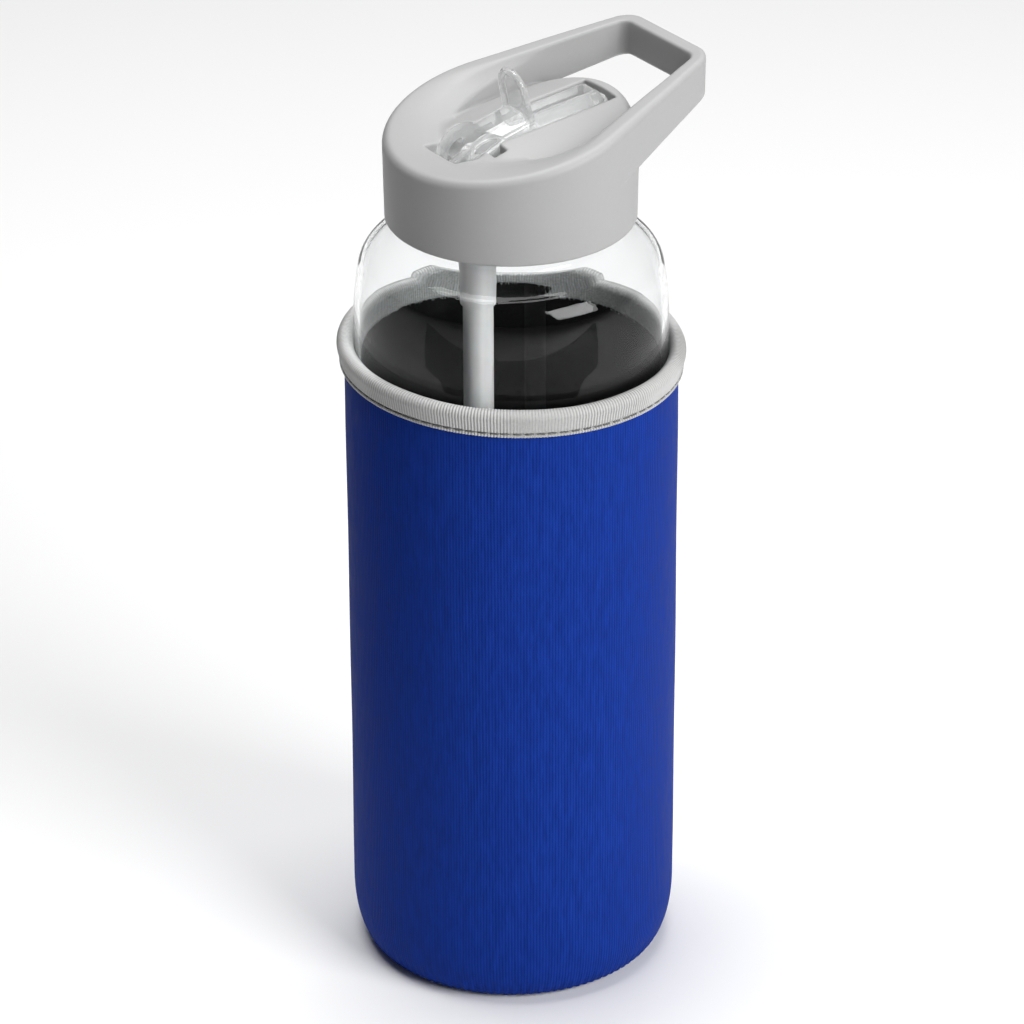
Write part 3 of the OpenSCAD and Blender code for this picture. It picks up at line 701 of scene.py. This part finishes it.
def loop_plan(x, y, r, corner):
    """Distance in plan from the hull of the lid's circle and the two corners of the carry loop."""
    y = np.abs(y)
    reach = math.hypot(CORNER_X, CORNER_Y)
    turn = math.atan2(CORNER_Y, CORNER_X) + math.acos((r - corner) / reach)
    nx, ny = math.cos(turn), math.sin(turn)
    along = x * ny - y * nx
    length = CORNER_X * ny - CORNER_Y * nx
    bar = x - CORNER_X - corner
    line = np.maximum(nx * x + ny * y - r, bar)
    end = np.where(y > CORNER_Y, np.hypot(x - CORNER_X, y - CORNER_Y) - corner, bar)
    return np.where(along < 0, np.hypot(x, y) - r, np.where(along > length, end, line))


def spout_room(x, y, z):
    """The channel that the spout lies in, the room that it turns in, and the slots for its pins."""
    drum_r, pin_r, slot_half, slot_end = 8.5, 2.08, 1.75, 9.5
    swing_r, swing_floor = 10.5, PIVOT_Z - 2.6
    channel_end, channel_floor = 25.8, 208.9
    slope = math.tan(SPOUT_SLOPE)
    drum = np.hypot(x - PIVOT_X, z - PIVOT_Z) - drum_r
    behind = cut(cut(PIVOT_X - swing_r - x, x - PIVOT_X - 2, 0.2), swing_floor - z, 0.8)
    ahead = cut(cut(x - channel_end, PIVOT_X - x, 0.2), channel_floor + slope * x - z, 0.8)
    room = cut(np.minimum(np.minimum(drum, behind), ahead), np.abs(y) - CHANNEL_W, 0.3)
    pin = np.hypot(x - PIVOT_X, z - PIVOT_Z) - pin_r
    way_in = np.maximum(np.abs(x - PIVOT_X) - slot_half, PIVOT_Z - z)
    return np.minimum(room, np.maximum(np.minimum(pin, way_in), np.abs(y) - slot_end))


def lid_field(x, y, z):
    """The lid's moulding: cup, sloping rim, hollowed top, spout deck and carry loop in one."""
    r = np.hypot(x, y)
    rim = (z - RIM_Z - RIM_SLOPE * x) * RIM_COS
    draft = DRAFT * (z - LID_Z) / DRAFT_H
    wall = r - LID_R - draft
    crest = loop_plan(x, y, CREST_R, CORNER_R - STRAP)
    underside = ARM_ROOT[1] + ARM_SLOPE * (x - ARM_ROOT[0]) - ARM_LEAN * np.maximum(crest, 0)
    arms = cut(loop_plan(x, y, LID_R, CORNER_R) - draft, (underside - z) * 0.85, 0.8)
    edge = 2.1 - 0.8 * smooth_step(x, 5, 34)
    solid = np.minimum(wall, np.maximum(arms, 5 - x))
    solid = cut(cut(solid, rim, edge), LID_Z - z, 0.4)

    fall = 0.2 + 0.36 * np.exp(np.minimum(x, 24) / 10)
    hollow = (fall * crest - rim) / np.hypot(1, fall)
    pit_front, pit_long, pit_half, pit_floor = 20, 39.5, 21.3, 212.6
    pit_x = np.clip((pit_front - x) / pit_long, 0, 1)
    pit_side = np.abs(y) - pit_half * (1 - pit_x ** 2.6) ** 0.8
    pit_side = pit_side * (1 - 0.4 * smooth_step(-x, -8, 14)) + 1.2 * np.maximum(-5 - x, 0)
    pit = cut(cut(pit_side, crest, 5), pit_floor - z, 1.5)
    soft = 1.3 - 0.7 * smooth_step(x, -5, 20)
    solid = cut(solid, -join(hollow, pit, 0.6), soft)

    tilt_x, tilt_z = math.sin(DECK_SLOPE), math.cos(DECK_SLOPE)
    deck_r = np.hypot(y, (z - DECK_Z) * tilt_z - x * tilt_x + DECK_CROWN) - DECK_CROWN
    start = (-x - 13.5) * 0.6 + (z - 214.5) * 0.8
    deck = cut(cut(deck_r, r - DECK_R, 2.2), start, 3.0)
    deck = np.maximum(deck, CEILING_Z - z)
    deck = np.maximum(deck, np.maximum(np.abs(y) - 22, r - DECK_R))
    solid = join(solid, deck, 0.8)

    cup = cut(r - CUP_R, z - CEILING_Z, 0.5)
    drum_wall = cut(np.hypot(x - PIVOT_X, z - PIVOT_Z) - 10, np.abs(y) - 7.75, 0.5)
    drum_wall = np.maximum(drum_wall, np.maximum(r - INNER_R, z - PIVOT_Z))
    solid = np.maximum(solid, -cup)
    solid = np.minimum(solid, drum_wall)
    pocket = cut(cut(r - INNER_R, z - 210.3, 0.8), 11 - np.abs(y), 0.8)
    solid = np.maximum(solid, -np.maximum(pocket, CEILING_Z - 1 - z))
    solid = cut(solid, -spout_room(x, y, z), 0.35)
    straw_hole_r, vent_x, vent_hole_r = 4.25, 12, 1.5
    hole = np.minimum(np.hypot(x - PIVOT_X, y) - straw_hole_r, np.hypot(x - vent_x, y) - vent_hole_r)
    return np.maximum(solid, -np.maximum(hole, z - 208))


def lid_shell():
    reach, margin, step = 31.2, 0.9, 0.45
    points, faces = skin(lid_field, (-reach, -reach, LID_Z - 0.7),
                         (LOOP_X + margin, reach, LID_TOP + margin), step)
    material = satin_plastic("grey_plastic", (0.35, 0.35, 0.35), (0.39, 0.39, 0.39), 0.5)
    mesh_piece("lid_moulding", points, faces, material, "lid", ["lid_shell"])


# ------------------------------------------------------------------ spout
def spout_field(x, y, z):
    """Drum, raised block, finger tab and mouthpiece of the clear spout, with its water way."""
    half, drum_r, pin_r, pin_end, bore = 5.95, 8.2, 2.0, 9.2, 2.3
    drum_at = np.hypot(x - PIVOT_X, z - PIVOT_Z)
    drum = cut(drum_at - drum_r, np.abs(y) - half, 0.6)
    pins = cut(drum_at - pin_r, np.abs(y) - pin_end, 0.4)
    lean, crown = math.radians(13.4), 9.85
    front, high, back_end, block_low = 1.4, 220.6, -11.4, 208
    above = (z - high) * math.cos(lean) - (x - front) * math.sin(lean)
    block = cut(np.hypot(y, above + crown) - crown, x - front, 0.6)
    block = cut(block, np.abs(y) - half, 0.5)
    block = np.maximum(block, np.maximum(block_low - z, back_end - x))

    way_z, tip_x, mouth_w, mouth_h, corner = 213.35, 24.9, 5.6, 4.3, 2.4
    along = x * math.cos(SPOUT_SLOPE) + (z - way_z) * math.sin(SPOUT_SLOPE)
    rise = (z - way_z) * math.cos(SPOUT_SLOPE) - x * math.sin(SPOUT_SLOPE)
    off = np.hypot(y, rise)
    over_y, over_z = np.abs(y) - mouth_w + corner, np.abs(rise) - mouth_h + corner
    oval = np.hypot(np.maximum(over_y, 0), np.maximum(over_z, 0)) - corner
    oval = oval + np.minimum(np.maximum(over_y, over_z), 0)
    mouth = cut(cut(oval, along - tip_x, 1.2), -along, 0.2)
    solid = join(np.minimum(drum, block), mouth, 0.7)

    tab_lean, tab_x, tab_z, tab_h, tab_w = math.radians(13), 2.6, 217.6, 8.5, 5.6
    up = (x - tab_x) * -math.sin(tab_lean) + (z - tab_z) * math.cos(tab_lean)
    thick = (x - tab_x) * math.cos(tab_lean) + (z - tab_z) * math.sin(tab_lean)
    width = tab_w - 0.6 * np.clip(up / tab_h, 0, 1)
    plan = np.hypot(y, np.maximum(up - tab_h, 0)) - width
    ring = np.hypot(thick, plan + 0.85) - 0.95
    web = cut(np.abs(thick) - 0.5, plan + 0.8, 0.2)
    tab = np.maximum(join(ring, web, 0.3), -0.8 - up)
    solid = join(np.minimum(solid, pins), tab, 0.5)

    way = np.minimum(np.maximum(off - bore, -2 - along), drum_at - bore)
    turned = math.radians(24)
    rise_x, rise_z = x - PIVOT_X, z - PIVOT_Z
    ahead = rise_x * math.cos(turned) + rise_z * math.sin(turned)
    side = np.hypot(y, rise_z * math.cos(turned) - rise_x * math.sin(turned))
    way = np.minimum(way, np.maximum(side - bore, np.maximum(-ahead, ahead - 9)))
    way = np.maximum(way, np.abs(y) - 2.6)
    inlet = np.maximum(np.hypot(y, rise_z) - bore, rise_x)
    return np.maximum(solid, -np.minimum(way, inlet))


def spout():
    reach, side, step = 8.7, 9.7, 0.3
    points, faces = skin(spout_field, (PIVOT_X - reach, -side, PIVOT_Z - reach), (25.3, side, 232.3), step)
    mesh_piece("flip_spout", points, faces, clear_plastic(), "spout", ["spout"])


# ------------------------------------------------------------------ CAD nodes that show as they are
def finish_cad_nodes():
    """Gives each CAD node that stays its own material."""
    looks = {
        "lid_gasket": (silicone("gasket_silicone", (0.72, 0.72, 0.7)), "silicone"),
        "spout_seal": (silicone("seal_silicone", (0.75, 0.75, 0.74)), "silicone"),
        "vent_valve": (silicone("valve_silicone", (0.7, 0.7, 0.69)), "silicone"),
        "thread_collar": (satin_plastic("collar_plastic", (0.6, 0.6, 0.6), (0.66, 0.66, 0.66), 0.4),
                          "collar_plastic"),
        "straw_socket": (milky_plastic("socket_plastic", (0.5, 0.5, 0.5), 0.0, 0.42), "socket_plastic"),
    }
    for name, (material, slot) in looks.items():
        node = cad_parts[name]
        node.data.materials.clear()
        node.data.materials.append(material)


# ------------------------------------------------------------------ studio
def light(name, place, towards, size, power):
    """A rectangular lamp that faces a point; lengths in metres, power in watts."""
    lamp = bpy.data.lights.new(name, "AREA")
    lamp.shape, lamp.size, lamp.size_y = "RECTANGLE", size[0], size[1]
    lamp.energy = power
    holder = bpy.data.objects.new(name, lamp)
    holder.location = place
    holder.rotation_euler = (Vector(towards) - Vector(place)).to_track_quat("-Z", "Y").to_euler()
    bpy.context.scene.collection.objects.link(holder)


def card(name, corners, shades):
    """A black card, in metres. One that shades is seen only by diffuse light, any other by reflections."""
    mesh = bpy.data.meshes.new(name)
    mesh.from_pydata(corners, [], [range(len(corners))])
    mesh.materials.append(Nodes(name, (0.004, 0.004, 0.004), 0.9).material)
    piece = bpy.data.objects.new(name, mesh)
    piece.visible_camera = piece.visible_transmission = piece.visible_shadow = False
    piece.visible_diffuse = shades
    piece.visible_glossy = not shades
    bpy.context.scene.collection.objects.link(piece)


def studio():
    """World, lamps, floor and two black cards, laid out from the camera's right and front, in metres."""
    scene = bpy.context.scene
    scene.view_settings.view_transform = "Standard"
    world = bpy.data.worlds.new("studio")
    world.use_nodes = True
    tree = world.node_tree
    sky = tree.nodes["Background"]
    scene.world = world
    right = Vector((math.cos(AZIMUTH), math.sin(AZIMUTH), 0))
    front = Vector((back.x, back.y, 0)).normalized()
    up = Vector((0, 0, 1))
    middle = Vector((0, 0, 0.12))
    facing = tree.nodes.new("ShaderNodeVectorMath")
    facing.operation = "DOT_PRODUCT"
    facing.inputs[1].default_value = (right * -0.95 + front * 0.2 - up * 0.25).normalized()
    tree.links.new(tree.nodes.new("ShaderNodeTexCoord").outputs["Generated"], facing.inputs[0])
    shade = tree.nodes.new("ShaderNodeMapRange")
    for socket, value in zip(shade.inputs, (0, -0.5, 0.9, 1.9, 0.5)):
        socket.default_value = value
    tree.links.new(facing.outputs["Value"], shade.inputs[0])
    tree.links.new(shade.outputs[0], sky.inputs[1])
    light("key", middle + right * 0.72 + front * 0.62 + up * 0.55, middle, (0.6, 0.6), 11)
    light("top", middle - right * 0.1 - front * 0.2 + up * 1.3, middle, (1.0, 0.8), 20)
    mesh = bpy.data.meshes.new("floor")
    wide = 6
    mesh.from_pydata([(-wide, -wide, 0), (wide, -wide, 0), (wide, wide, 0), (-wide, wide, 0)], [],
                     [(0, 1, 2, 3)])
    floor = bpy.data.objects.new("floor", mesh)
    mesh.materials.append(Nodes("pale_floor", (0.9, 0.9, 0.9), 0.8, Specular_IOR_Level=0.2).material)
    scene.collection.objects.link(floor)
    # the floor card's corners: how far from the bottle, and degrees from the front
    fan = [(0.30, 0), (0.33, 30), (0.42, 62), (1.3, 62), (1.3, -62), (0.42, -62), (0.33, -30)]
    turned = [(reach, math.radians(degrees)) for reach, degrees in fan]
    lift, side, card_h = 0.002, 0.16, 0.32
    card("floor_card", [(front * math.cos(t) + right * math.sin(t)) * reach + up * lift
                        for reach, t in turned], False)
    near, far = -right * side + front * 0.10, -right * side - front * 0.30
    card("side_card", [near, far, far + up * card_h, near + up * card_h], True)


sleeve_cover()
sleeve_lining()
base()
side_seam()
binding()
glass()
straw()
lid_shell()
spout()
finish_cad_nodes()
studio()
